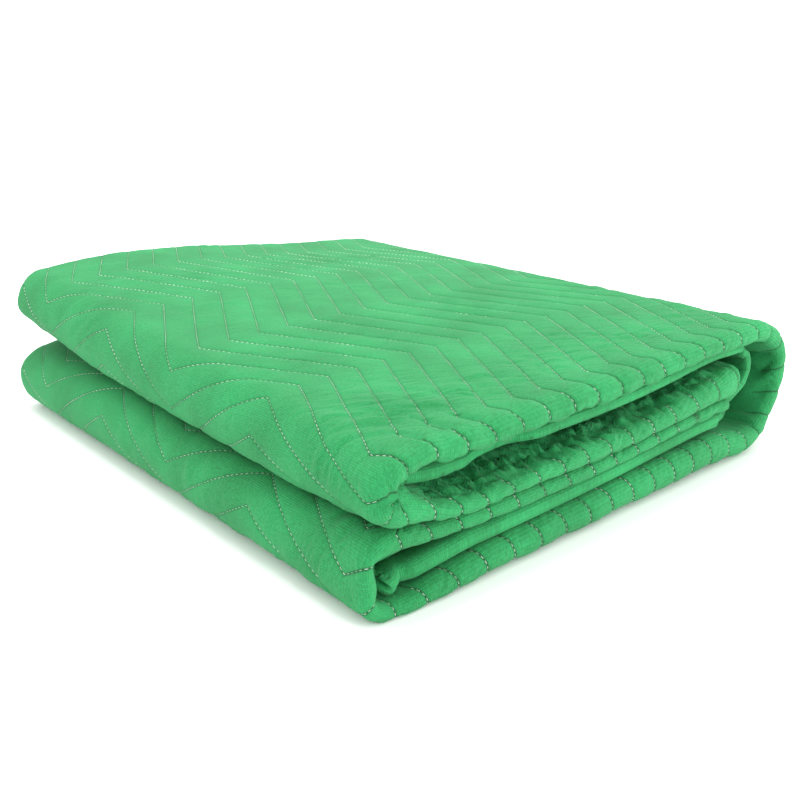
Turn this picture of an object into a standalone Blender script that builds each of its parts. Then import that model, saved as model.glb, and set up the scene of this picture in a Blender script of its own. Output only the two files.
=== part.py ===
"""A quilted moving blanket, folded up and lying on a flat surface.

It is folded in three like a letter, across Y, and then as a double gate along X: both ends are
turned in to the middle, and the two halves are closed like a book. That makes two rounded noses
at low X, a broad spine at high X, an open side at low Y and a closed back at high Y.

Metres, +Z up. The origin is on the surface, under the middle of the folded blanket.
"""

import math

import bmesh
import bpy
import numpy as np
from mathutils import Vector
from mathutils.geometry import delaunay_2d_cdt

# The cloth. A ply is one thickness of it, and twelve plies lie on each other when it is folded.
PLY = 0.0088  # thickness where the filling puffs up
STITCHED = 0.0064  # thickness on a line of quilting
PITCH = 0.0109  # from the middle of one ply to the middle of the next
BUNDLE = 3 * PITCH  # one letter fold of three plies

# The folds, measured on the plies' middles.
RUN = 0.436  # straight length between the noses and the spine
PANEL = 0.600  # straight width between the open side's lip and the back fold
UPPER_SHORT = 0.018  # how far the blanket's end in the upper half stops short of the spine's turn
LOWER_SHORT = 0.030  # the same for its end in the lower half
HEM_IN = 0.007  # how far the upper flap's hem lies behind the lip on the open side
TONGUE_IN = 0.012  # how far the tucked flap's hem stops short of the back fold
SPINE_HOLLOW = 0.022  # how far the upper flap hangs away from the other two plies in the spine
SPINE_PART = 0.004  # how far those two part there
SPINE_LIP = 0.0072  # how far the lip stands out there
HEM_DRAW = 0.008  # how far the upper flap's hem draws in there

# The quilting: zigzag lines that run from the open side to the back.
LINE_SPACING = 0.0292
ZIGZAG = 0.0634  # from the low corners of a line to its high corners, along X
ZIGZAG_PERIOD = 0.2586  # from one low corner to the next, along Y
FIRST_CORNER = 0.0156  # from the lip to the first low corners
FIRST_LINE = 0.0153  # from the upper nose to the low corners of the first line on top
QUILT_FADE = 0.030  # stretch over which the dips fade out where the quilting is pressed flat

# The height of the folded blanket over its flat height, at the corners of its outline.
LIFT = {
    "nose_front": 1.00,
    "spine_front": 1.055,
    "nose_back": 1.175,
    "spine_back": 0.87,
}
BACK_CROWN = 0.13  # more lift in the middle of the back edge, over its flat height
LOWER_OUT = 0.008  # how far the lower nose lies out past the upper one

# How finely the turns are cut.
RUN_STEPS = 3
NOSE_STEPS = 8
SPINE_STEPS = 10
LIP_STEPS = 4
NEAR = 0.0006  # net points nearer than this are one
PROBE = 0.00002  # step for the slopes of the surface
FLAT = 0.00002  # points this near the surface below lie on it

GREEN = (0.068, 0.503, 0.152, 1.0)

NOSE_TURN = BUNDLE / 2
SPINE_TURN = 1.5 * BUNDLE

# The way of the fold along X, from the end inside the upper half to the end inside the lower one.
# Columns: name, straight length, radius of the turn after it, steps of that turn.
FOLD_RUNS = [
    ("upper_inner", RUN - UPPER_SHORT, NOSE_TURN, NOSE_STEPS),
    ("top", RUN, SPINE_TURN, SPINE_STEPS),
    ("bottom", RUN, NOSE_TURN, NOSE_STEPS),
    ("lower_inner", RUN - LOWER_SHORT, 0.0, 0),
]

# The way of the letter fold across Y, from the tucked flap's hem to the upper flap's hem.
# Columns: name, length in the cloth, steps.
FOLD_PANELS = [
    ("tucked_flap", PANEL - TONGUE_IN, 1),
    ("lip", math.pi * PITCH / 2, LIP_STEPS),
    ("outer_panel", PANEL, 1),
    ("back_fold", math.pi * PITCH, LIP_STEPS),
    ("upper_flap", PANEL - HEM_IN, 1),
]


def clear_scene():
    for old in list(bpy.data.objects):
        bpy.data.objects.remove(old, do_unlink=True)


def smooth(value):
    """0 below 0, 1 above 1, and a soft step between."""
    value = np.clip(value, 0.0, 1.0)
    return value * value * (3.0 - 2.0 * value)


def run_marks():
    """Where each straight run and each turn starts and ends, along the outer panel of the cloth."""
    marks = {}
    place = 0.0
    for name, straight, turn, _ in FOLD_RUNS:
        marks[name] = (place, place + straight)
        place += straight
        if turn:
            arc = math.pi * (turn + PITCH)
            marks[name + "_turn"] = (place, place + arc)
            place += arc
    return marks, place


def panel_marks():
    """Where each panel and fold of the letter fold starts and ends, across the cloth."""
    marks = {}
    place = 0.0
    for name, length, _ in FOLD_PANELS:
        marks[name] = (place, place + length)
        place += length
    return marks, place


RUNS, CLOTH_LENGTH = run_marks()
PANELS, CLOTH_WIDTH = panel_marks()


def fold_path(along):
    """The letter fold's middle in the XZ plane, and its heading, at places along the cloth."""
    x = np.zeros_like(along)
    z = np.zeros_like(along)
    heading = np.zeros_like(along)
    at_x = RUN - UPPER_SHORT
    at_z = 2.5 * BUNDLE
    facing = math.pi
    for name, straight, turn, _ in FOLD_RUNS:
        start, end = RUNS[name]
        on = (along >= start) & (along <= end + PROBE)
        x[on] = at_x + math.cos(facing) * (along[on] - start)
        z[on] = at_z
        heading[on] = facing
        at_x += math.cos(facing) * straight
        if turn:
            start, end = RUNS[name + "_turn"]
            on = (along > start) & (along < end)
            heading[on] = facing - (along[on] - start) / (turn + PITCH)
            middle_z = at_z - turn * math.cos(facing)
            x[on] = at_x - turn * np.sin(heading[on])
            z[on] = middle_z + turn * np.cos(heading[on])
            at_z = 2 * middle_z - at_z
            facing -= math.pi
    return x, z, heading


def spine_share(along):
    """1 at the middle of the spine's turn, 0 on the runs before and after it."""
    start, end = RUNS["top_turn"]
    share = np.clip((along - start) / (end - start), 0.0, 1.0)
    return np.sin(math.pi * share) ** 2


def letter_fold(along, across):
    """The fold's section: the place along Y, and the height over the middle ply."""
    spine = spine_share(along)
    outer = PITCH
    tucked = -SPINE_PART * spine
    inner = -PITCH - SPINE_HOLLOW * spine
    y = np.zeros_like(along)
    height = np.zeros_like(along)

    def part(name):
        start, end = PANELS[name]
        on = (across >= start) & (across <= end)
        return on, (across[on] - start) / (end - start)

    on, share = part("tucked_flap")
    y[on] = (PANEL - TONGUE_IN) * (1.0 - share)
    height[on] = tucked[on]

    on, share = part("lip")
    stands_out = PITCH / 2 + (SPINE_LIP - PITCH / 2) * spine[on]
    y[on] = -stands_out * np.sin(math.pi * share)
    height[on] = (outer + tucked[on]) / 2 - (outer - tucked[on]) / 2 * np.cos(math.pi * share)

    on, share = part("outer_panel")
    y[on] = PANEL * share
    height[on] = outer

    on, share = part("back_fold")
    y[on] = PANEL + PITCH * np.sin(math.pi * share)
    height[on] = (outer + inner[on]) / 2 + (outer - inner[on]) / 2 * np.cos(math.pi * share)

    on, share = part("upper_flap")
    y[on] = PANEL * (1.0 - share) + (HEM_IN + HEM_DRAW * spine[on]) * share
    height[on] = inner[on]
    return y, height


def lie_down(points):
    """Lifts or lowers the fold towards its corners, and lets the lower nose lie further out."""
    low_x = -BUNDLE
    high_x = RUN + 2 * BUNDLE
    low_y = -PITCH
    high_y = PANEL + 1.5 * PITCH
    x = (points[:, 0] - low_x) / (high_x - low_x)
    y = (points[:, 1] - low_y) / (high_y - low_y)
    front = LIFT["nose_front"] * (1 - x) + LIFT["spine_front"] * x
    back = LIFT["nose_back"] * (1 - x) + LIFT["spine_back"] * x + 4 * BACK_CROWN * x * (1 - x)
    lower_half = points[:, 2] < 2 * BUNDLE
    lying = points.copy()
    lying[:, 0] -= LOWER_OUT * lower_half * smooth((RUN / 2 - points[:, 0]) / (RUN / 2))
    lying[:, 2] = PLY / 2 + (points[:, 2] - PITCH / 2) * (front * (1 - y) + back * y)
    return lying


def middle_of_cloth(along, across):
    """Points on the middle of the folded cloth."""
    x, z, heading = fold_path(along)
    y, height = letter_fold(along, across)
    points = np.stack([x - height * np.sin(heading), y, z + height * np.cos(heading)], axis=1)
    return lie_down(points)


def slope(along, across, step_along, step_across):
    """How the cloth's middle moves over a small step in the cloth."""
    before_along = np.clip(along - step_along, 0.0, CLOTH_LENGTH)
    after_along = np.clip(along + step_along, 0.0, CLOTH_LENGTH)
    before_across = np.clip(across - step_across, 0.0, CLOTH_WIDTH)
    after_across = np.clip(across + step_across, 0.0, CLOTH_WIDTH)
    return middle_of_cloth(after_along, after_across) - middle_of_cloth(before_along, before_across)


def cloth_normals(along, across):
    """Which way the outer face looks."""
    normals = np.cross(
        slope(along, across, PROBE, 0.0),
        slope(along, across, 0.0, PROBE),
    )
    return normals / np.linalg.norm(normals, axis=1)[:, None]


def zigzag(across):
    """How far a line of quilting is moved along the cloth, from 0 at its low corners."""
    phase = ((across - PANELS["outer_panel"][0] - FIRST_CORNER) / ZIGZAG_PERIOD) % 1.0
    return ZIGZAG * (1.0 - np.abs(2.0 * phase - 1.0))


def quilted_share(along, across):
    """1 where the quilting stands up on the outside of the fold, 0 where it is pressed flat."""
    top = smooth((along - RUNS["upper_inner_turn"][0]) / QUILT_FADE + 1)
    top *= smooth((RUNS["top_turn"][1] - along) / QUILT_FADE)
    low_nose = smooth((along - RUNS["bottom_turn"][0]) / QUILT_FADE)
    low_nose *= smooth((RUNS["bottom_turn"][1] - along) / QUILT_FADE + 1)
    side = (across > PANELS["lip"][0]) & (across < PANELS["back_fold"][1])
    return np.maximum(top, low_nose) * side


def half_thickness(along, across):
    """Half a ply, thinner on the lines of quilting."""
    lines = (along - RUNS["top"][0] - FIRST_LINE - zigzag(across)) / LINE_SPACING
    dip = 0.5 + 0.5 * np.cos(2 * math.pi * lines)
    return PLY / 2 - (PLY - STITCHED) / 2 * dip * quilted_share(along, across)


def seat(points, outline):
    """Centres points under the outline's middle, and makes the face that lies on the surface flat."""
    seated = points.copy()
    seated[:, :2] -= (outline[:, :2].min(axis=0) + outline[:, :2].max(axis=0)) / 2
    seated[np.abs(seated[:, 2]) < FLAT, 2] = 0.0
    return seated


class Net:
    """The cloth laid flat, as lines that the triangles have to follow."""

    def __init__(self):
        self.points = []
        self.edges = []

    def line(self, stops):
        first = len(self.points)
        self.points += [Vector(stop) for stop in stops]
        self.edges += [(first + i, first + i + 1) for i in range(len(stops) - 1)]


def add_turn_lines(net):
    """Straight lines across the cloth, along each run and closer in each turn of the gate fold."""
    for name, _, turn, steps in FOLD_RUNS:
        places = list(np.linspace(*RUNS[name], RUN_STEPS + 1))
        if turn:
            places += list(np.linspace(*RUNS[name + "_turn"], steps + 1)[1:-1])
        for place in places:
            net.line([(place, 0.0), (place, CLOTH_WIDTH)])


def zigzag_corners():
    """Where the quilting lines have their corners, across the outer panel."""
    first = PANELS["outer_panel"][0] + FIRST_CORNER
    return np.arange(first, PANELS["outer_panel"][1], ZIGZAG_PERIOD / 2)


def add_letter_lines(net):
    """Straight lines along the cloth, through the quilting's corners and closer in the folds."""
    corners = zigzag_corners() - PANELS["outer_panel"][0]
    places = list(PANELS["outer_panel"][0] + corners)
    places += list(PANELS["lip"][0] - corners)
    places += list(PANELS["upper_flap"][0] + PANEL - corners)
    for name, _, steps in FOLD_PANELS:
        places += list(np.linspace(*PANELS[name], steps + 1))
    for place in places:
        net.line([(0.0, place), (CLOTH_LENGTH, place)])


def add_quilt_lines(net):
    """The lines of quilting, and a line along the puff between each two."""
    stops = [PANELS["lip"][0], *zigzag_corners(), PANELS["back_fold"][1]]
    first = RUNS["top"][0] + FIRST_LINE
    half_lines = int(CLOTH_LENGTH / (LINE_SPACING / 2))
    for half_line in range(-half_lines, half_lines):
        moved = first + half_line * LINE_SPACING / 2 + zigzag(np.array(stops))
        shown = quilted_share(moved, np.full(len(stops), PANELS["outer_panel"][0])) > 0.0
        for i in range(len(stops) - 1):
            if shown[i] or shown[i + 1]:
                net.line([(moved[i], stops[i]), (moved[i + 1], stops[i + 1])])


def cloth_net():
    """Corners and triangles of the flat cloth."""
    net = Net()
    add_turn_lines(net)
    add_letter_lines(net)
    add_quilt_lines(net)
    corners, _, triangles, _, _, _ = delaunay_2d_cdt(net.points, net.edges, [], 0, NEAR)
    return np.array([tuple(corner) for corner in corners]), triangles


def fabric_material():
    material = bpy.data.materials.new("quilted_green_fabric")
    material.use_nodes = True
    surface = material.node_tree.nodes["Principled BSDF"]
    surface.inputs["Base Color"].default_value = GREEN
    surface.inputs["Roughness"].default_value = 0.85
    surface.inputs["Metallic"].default_value = 0.0
    material.diffuse_color = GREEN
    return material


def rim_edges(mesh):
    """The free edges of the flat net's triangles, each as its two corners in order."""
    return [
        (edge.link_loops[0].vert.index, edge.link_loops[0].link_loop_next.vert.index)
        for edge in mesh.edges
        if edge.is_boundary
    ]


def make_blanket():
    flat, triangles = cloth_net()
    along = flat[:, 0]
    across = flat[:, 1]
    middle = middle_of_cloth(along, across)
    reach = cloth_normals(along, across) * half_thickness(along, across)[:, None]
    outside = seat(middle + reach, middle + reach)
    inside = seat(middle - reach, middle + reach)

    mesh = bmesh.new()
    outer = [mesh.verts.new(point) for point in outside]
    inner = [mesh.verts.new(point) for point in inside]
    for corners in triangles:
        mesh.faces.new([outer[i] for i in corners])
    mesh.verts.index_update()
    rim = rim_edges(mesh)
    for corners in triangles:
        mesh.faces.new([inner[i] for i in reversed(corners)])
    for a, b in rim:
        mesh.faces.new([outer[b], outer[a], inner[a]])
        mesh.faces.new([outer[b], inner[a], inner[b]])
    bmesh.ops.recalc_face_normals(mesh, faces=mesh.faces)

    data = bpy.data.meshes.new("blanket")
    mesh.to_mesh(data)
    mesh.free()
    data.shade_smooth()
    data.set_sharp_from_angle(angle=math.radians(50))
    data.materials.append(fabric_material())
    blanket = bpy.data.objects.new("blanket", data)
    bpy.context.collection.objects.link(blanket)
    return blanket


clear_scene()
make_blanket()
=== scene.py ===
# %% [markdown]
# # A quilted moving blanket, folded up
# The object is one green padded cloth, quilted through with pale thread in zigzag lines, folded
# in three like a letter and then as a double gate: both ends to the middle, and closed like a book.
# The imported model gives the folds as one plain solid. This lesson lays a finer cloth along the same
# folds, and adds what the plain solid lacks: puffs, wrinkles, soft hems, thread and weave.

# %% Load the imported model
import math

import bpy
import numpy as np
from mathutils import Matrix, Vector


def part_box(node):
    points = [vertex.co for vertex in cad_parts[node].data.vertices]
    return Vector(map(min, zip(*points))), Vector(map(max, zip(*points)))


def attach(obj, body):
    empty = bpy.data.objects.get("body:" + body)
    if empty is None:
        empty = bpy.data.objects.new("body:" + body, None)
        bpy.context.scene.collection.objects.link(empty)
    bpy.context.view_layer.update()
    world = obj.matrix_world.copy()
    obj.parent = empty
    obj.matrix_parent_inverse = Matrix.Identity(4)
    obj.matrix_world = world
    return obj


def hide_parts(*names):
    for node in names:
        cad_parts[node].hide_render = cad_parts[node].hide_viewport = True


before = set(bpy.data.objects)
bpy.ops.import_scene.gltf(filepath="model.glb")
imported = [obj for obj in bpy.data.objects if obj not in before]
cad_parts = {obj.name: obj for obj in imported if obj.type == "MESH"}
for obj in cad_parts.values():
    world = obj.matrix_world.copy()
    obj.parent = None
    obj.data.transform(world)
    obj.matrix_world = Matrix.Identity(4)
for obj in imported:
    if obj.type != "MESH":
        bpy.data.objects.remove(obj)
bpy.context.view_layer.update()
LOW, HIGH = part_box("blanket")
print("solid blanket, mm:", [round(1000 * (HIGH[i] - LOW[i]), 1) for i in range(3)])

# %% [markdown]
# ## Small helpers
# Colours are picked as sRGB hex values, as in any paint program, but shaders work in linear light,
# so one function turns one into the other. Another adds a shader node with its settings and links
# in one call, which keeps the materials below short enough to read as recipes. Two more do what
# each object and each material starts with.


# %% Colours and nodes
def linear(hex_colour):
    """An sRGB hex colour as a linear one with alpha."""
    shares = [int(hex_colour[i : i + 2], 16) / 255 for i in (1, 3, 5)]
    light = [c / 12.92 if c <= 0.04045 else ((c + 0.055) / 1.055) ** 2.4 for c in shares]
    return (*light, 1.0)


def add_node(tree, kind, settings, inputs):
    """Adds a node with its options. An input takes a value, or another node's output as a link."""
    node = tree.nodes.new(kind)
    for name, value in settings.items():
        setattr(node, name, value)
    for socket, value in inputs.items():
        if isinstance(value, bpy.types.NodeSocket):
            tree.links.new(value, node.inputs[socket])
        else:
            node.inputs[socket].default_value = value
    return node


def new_material(name):
    """A material with its node tree and its main shader."""
    material = bpy.data.materials.new(name)
    material.use_nodes = True
    return material, material.node_tree, material.node_tree.nodes["Principled BSDF"]


def put_in_scene(name, data):
    """Adds an object with this mesh, lamp or camera."""
    placed = bpy.data.objects.new(name, data)
    bpy.context.collection.objects.link(placed)
    return placed


print("lightest green of the dye in linear light:", [round(c, 3) for c in linear("#27A35D")])

# %% [markdown]
# ## The camera
# A camera is a place, a direction and a lens. These numbers come from fitting the fold's outline
# and the corners of its quilting to the photograph, so the render can be laid over it. The turn is
# built from the viewing angles as three axes, because that says plainly which way each one points.

# %% Camera
CAMERA_PLACE = Vector((-0.6628, -0.8189, 0.419))
CAMERA_AZIMUTH = math.radians(-40.135)
CAMERA_DOWN = math.radians(20.54)
CAMERA_ROLL = math.radians(-0.836)
FOCAL_PIXELS = 1053.6
FRAME_PIXELS = 800
SENSOR_WIDTH = 36.0

forward = Vector((
    -math.sin(CAMERA_AZIMUTH) * math.cos(CAMERA_DOWN),
    math.cos(CAMERA_AZIMUTH) * math.cos(CAMERA_DOWN),
    -math.sin(CAMERA_DOWN),
))
level = forward.cross(Vector((0, 0, 1))).normalized()
upright = level.cross(forward)
right = level * math.cos(CAMERA_ROLL) + upright * math.sin(CAMERA_ROLL)
up = upright * math.cos(CAMERA_ROLL) - level * math.sin(CAMERA_ROLL)

camera = put_in_scene("camera", bpy.data.cameras.new("camera"))
camera.data.sensor_width = SENSOR_WIDTH
camera.data.lens = FOCAL_PIXELS / FRAME_PIXELS * SENSOR_WIDTH
turned = Matrix((right, up, -forward)).transposed().to_4x4()
camera.matrix_world = Matrix.Translation(CAMERA_PLACE) @ turned
bpy.context.scene.camera = camera
print("lens, mm:", round(camera.data.lens, 2))

# %% [markdown]
# ## The floor
# The blanket lies on a plain pale surface. A board painted white is matt and evenly bright, so it
# shows the cloth's soft shadow and nothing else. One large square is enough, because its edges
# then lie far outside the picture from every side.

# %% Floor
FLOOR_SIZE = 60.0

floor_mesh = bpy.data.meshes.new("studio_floor")
half = FLOOR_SIZE / 2
floor_corners = [(-half, -half, 0), (half, -half, 0), (half, half, 0), (-half, half, 0)]
floor_mesh.from_pydata(floor_corners, [], [(0, 1, 2, 3)])
studio_floor = put_in_scene("studio_floor", floor_mesh)

# Matt white paint on a board: bright and even, with hardly a reflection.
painted_board, _, board_shader = new_material("white_painted_board")
board_shader.inputs["Base Color"].default_value = linear("#FCFCFC")
board_shader.inputs["Roughness"].default_value = 0.7
floor_mesh.materials.append(painted_board)
print("floor, m:", FLOOR_SIZE)

# %% [markdown]
# ## The light
# A bright, even studio could be lit by a sky alone, but then the folds look flat. So three soft
# boxes are added to a white sky: a wide one overhead for the top, a low one from the front right
# that reaches into the open side, and a weak one from the front left. The view transform is the
# plain one, because a bright studio shot keeps its whites white.

# %% Lights
# Columns: name, place, aimed at, width and height, watts, colour.
SOFT_BOXES = [
    ("overhead_box", (0.0, 0.3, 1.9), (0.0, 0.05, 0.1), (1.3, 1.1), 22.0, "#FFFFFF"),
    ("front_left_box", (-1.9, -0.3, 1.1), (0.0, 0.0, 0.08), (1.0, 0.8), 1.2, "#FFFDF8"),
    ("front_right_box", (1.2, -1.9, 0.32), (0.05, -0.1, 0.05), (1.2, 0.6), 24.0, "#FFFFFF"),
]
SKY = "#FFFFFF"
SKY_STRENGTH = 1.55

for name, place, target, size, watts, colour in SOFT_BOXES:
    lamp = bpy.data.lights.new(name, "AREA")
    lamp.shape = "RECTANGLE"
    lamp.size, lamp.size_y = size
    lamp.energy = watts
    lamp.color = linear(colour)[:3]
    holder = put_in_scene(name, lamp)
    holder.location = place
    holder.rotation_mode = "QUATERNION"
    holder.rotation_quaternion = (Vector(target) - Vector(place)).to_track_quat("-Z", "Y")

studio = bpy.data.worlds.new("studio")
studio.use_nodes = True
studio.node_tree.nodes["Background"].inputs["Color"].default_value = linear(SKY)
studio.node_tree.nodes["Background"].inputs["Strength"].default_value = SKY_STRENGTH
bpy.context.scene.world = studio
bpy.context.scene.view_settings.view_transform = "Standard"
print("soft boxes:", len(SOFT_BOXES))

# %% [markdown]
# ## The cloth and its folds
# A real moving blanket is two woven covers with thin padding between them, about 9 mm thick. Two
# numbers name each place on it: how far along its length, and how far across its width. Every
# later step says where such a place goes, so folds, puffs, stitches and weave all stay together.
# The sizes are the solid's own, so the fine cloth lies where the solid lies.

# %% Sizes of the cloth
PLY = 0.0088  # one thickness of the padded cloth
PITCH = 0.0109  # from the middle of one ply to the middle of the next
BUNDLE = 3 * PITCH  # one letter fold of three plies
RUN = 0.436  # straight length between the noses and the spine
PANEL = 0.600  # straight width between the open side's lip and the back fold
UPPER_SHORT = 0.018  # how far the cloth's end in the upper half stops short of the spine's turn
LOWER_SHORT = 0.030  # the same for its end in the lower half
TONGUE_IN = 0.012  # how far the tucked flap's hem stops short of the back fold
LOWER_OUT = 0.008  # how far the lower nose lies out past the upper one
NOSE_TURN = BUNDLE / 2  # radius of the turn at each nose, in the middle of the bundle
SPINE_TURN = 1.5 * BUNDLE  # the same at the spine
UPPER_FLAP_LESS = 0.007  # how much narrower the upper flap is than the outer panel
FOLD_MIDDLE = (0.23035, 0.30185)  # the middle of the fold's outline in its own coordinates
SEATED = [(LOW[i] + HIGH[i]) / 2 - FOLD_MIDDLE[i] for i in (0, 1)]  # moves it onto the solid

LINE_SPACING = 0.0292  # from one zigzag line of quilting to the next
ZIGZAG = 0.0634  # from the low corners of a line to its high corners
ZIGZAG_PERIOD = 0.2586  # from one low corner to the next
FIRST_CORNER = 0.0156  # from the lip to the first low corners
FIRST_LINE = 0.0153  # from the upper nose to the low corners of the first line on top

# The height of the folded blanket over its flat height, at the corners of its outline.
LIFT = {"nose_front": 1.00, "spine_front": 1.055, "nose_back": 1.175, "spine_back": 0.87}
BACK_CROWN = 0.13  # how much higher still it is in the middle of its back

# The way of the fold along X. Columns: name, straight length, radius of the turn after it, how
# much more cloth than the plain arc the turn holds.
FOLD_RUNS = [
    ("upper_inner", RUN - UPPER_SHORT, NOSE_TURN, 0.0),
    ("top", RUN, SPINE_TURN, 0.0155),
    ("bottom", RUN, NOSE_TURN, 0.0),
    ("lower_inner", RUN - LOWER_SHORT, 0.0, 0.0),
]
# The way of the letter fold across Y. Columns: name, length in the cloth.
FOLD_PANELS = [
    ("tucked_flap", PANEL - TONGUE_IN),
    ("lip", math.pi * PITCH / 2),
    ("outer_panel", PANEL),
    ("back_fold", math.pi * PITCH),
    ("upper_flap", PANEL - UPPER_FLAP_LESS),
]


def marks_of(lengths):
    """Where each part starts and ends, one after the other, and how long all of them are."""
    marks, place = {}, 0.0
    for name, length in lengths:
        marks[name] = (place, place + length)
        place += length
    return marks, place


run_lengths = []
for name, straight, turn, slack in FOLD_RUNS:
    run_lengths.append((name, straight))
    if turn:
        run_lengths.append((name + "_turn", math.pi * (turn + PITCH) + slack))
RUNS, CLOTH_LENGTH = marks_of(run_lengths)
PANELS, CLOTH_WIDTH = marks_of(FOLD_PANELS)
print("cloth laid flat, m:", round(CLOTH_WIDTH, 3), "by", round(CLOTH_LENGTH, 3))


# %% [markdown]
# ## Soft steps and unevenness
# Nothing on a used blanket is straight. Two tools give that: a soft step from 0 to 1, and a smooth
# noise made of seeded random heights with soft slopes between them. The noise is drawn from a fixed
# seed, so the blanket comes out the same each time.


# %% Steps and noise
def smooth(value):
    """0 below 0, 1 above 1, and a soft step between."""
    value = np.clip(value, 0.0, 1.0)
    return value * value * (3.0 - 2.0 * value)


def bump_at(value, middle, reach):
    """1 at the middle, falling softly to 0 at the reach on both sides."""
    return 1.0 - smooth(np.abs(value - middle) / reach)


NOISE_GRID = (61, 67)  # two primes, so that the noise repeats far apart in both directions


def soft_noise(u, v, seed):
    """Smooth noise from -1 to 1, with hills about one unit wide."""
    heights = np.random.default_rng(seed).uniform(-1.0, 1.0, NOISE_GRID)
    cells = [np.floor(place).astype(int) for place in (u, v)]
    (u_0, u_1), (v_0, v_1) = (
        (cell % size, (cell + 1) % size) for cell, size in zip(cells, NOISE_GRID)
    )
    in_u, in_v = smooth(u - cells[0]), smooth(v - cells[1])
    low, high = (heights[u_0, row] * (1 - in_u) + heights[u_1, row] * in_u for row in (v_0, v_1))
    return low * (1 - in_v) + high * in_v


def through(places, stops):
    """Values on a smooth curve through the stops. Columns of the stops: place, then the values."""
    knots = np.array(stops, dtype=float)
    at = np.clip(places, knots[0, 0], knots[-1, 0])
    step = np.clip(np.searchsorted(knots[:, 0], at) - 1, 0, len(knots) - 2)
    steepness = np.diff(knots[:, 1:], axis=0) / np.diff(knots[:, 0])[:, None]
    before, after = steepness[:-1], steepness[1:]
    slopes = np.zeros_like(knots[:, 1:])
    same_way = before * after > 0
    slopes[1:-1][same_way] = (2 * before * after)[same_way] / (before + after)[same_way]
    width = knots[step + 1, 0] - knots[step, 0]
    share = ((at - knots[step, 0]) / width)[:, None]
    bend = share**3 - 2 * share**2 + share
    unbend = share**3 - share**2
    rise = share**2 * (3 - 2 * share)
    values = knots[step, 1:] * (1 - rise) + knots[step + 1, 1:] * rise
    values += width[:, None] * (bend * slopes[step] + unbend * slopes[step + 1])
    return values[:, 0] if values.shape[1] == 1 else values


print("noise at a few places:", soft_noise(np.array([0.5, 1.5]), np.array([0.5, 2.5]), 1).round(2))

# %% [markdown]
# ## What the open side shows
# Seen from the open side, each bundle has a rounded lip, where the outer panel turns into the
# tucked flap, and behind it the free hem of the upper flap. The hem wanders: it comes forward as a
# smooth tube in some places and hides deep behind the lip in others, where the lip puffs up and
# fills the space. Tables along the cloth say how much, because that is how a hand would fold it.

# %% The hem
UPPER_IN = RUNS["upper_inner"]
UPPER_NOSE = RUNS["upper_inner_turn"]
NOSE = UPPER_NOSE[0]
TOP = RUNS["top"]
SPINE = RUNS["top_turn"]
BOTTOM = RUNS["bottom"]
LOWER_NOSE = RUNS["bottom_turn"]
LOWER_IN = RUNS["lower_inner"]
FLAP, LIP, OUTER, BACK, UPPER = PANELS.values()

# The upper flap's hem. Columns: place along, how far it lies behind the lip, how much fuller than
# the plain cloth it is on each face, how far it is pushed inwards.
HEM_SHAPE = [
    (UPPER_IN[0], 0.030, 0.000, 0.000),
    (UPPER_IN[0] + 0.05, 0.050, 0.000, 0.000),
    (NOSE, 0.050, 0.000, 0.000),
    (TOP[0] - 0.030, 0.045, 0.000, 0.000),
    (TOP[0] - 0.016, 0.004, 0.001, 0.006),
    (TOP[0] + 0.01, 0.003, 0.002, 0.009),
    (TOP[0] + 0.05, 0.003, 0.002, 0.007),
    (TOP[0] + 0.09, 0.012, 0.001, 0.006),
    (TOP[0] + 0.12, 0.012, 0.001, 0.005),
    (TOP[0] + 0.15, 0.000, 0.002, 0.003),
    (TOP[0] + 0.30, 0.000, 0.001, 0.002),
    (TOP[1], 0.002, 0.000, 0.000),
    (SPINE[0] + 0.06, 0.001, 0.001, 0.000),
    (SPINE[1], 0.001, 0.001, 0.000),
    (BOTTOM[0] + 0.05, -0.003, 0.003, 0.003),
    (BOTTOM[1] - 0.05, -0.003, 0.004, 0.004),
    (BOTTOM[1] - 0.022, -0.001, 0.004, 0.003),
    (BOTTOM[1] - 0.014, 0.005, 0.003, 0.003),
    (BOTTOM[1] - 0.004, -0.003, 0.004, 0.002),
    (LOWER_NOSE[0] + 0.018, -0.003, 0.003, 0.000),
    (LOWER_NOSE[0] + 0.032, 0.008, 0.001, 0.000),
    (LOWER_IN[0] - 0.020, 0.016, 0.000, 0.000),
    (LOWER_IN[0] + 0.02, 0.018, 0.000, 0.000),
    (LOWER_IN[1], 0.018, 0.000, 0.000),
]
HEM_WIDTH = 0.026  # how far behind its edge the hem is fuller than the plain cloth
print("hem behind the lip, mm:", [round(1000 * row[1]) for row in HEM_SHAPE])

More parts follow.
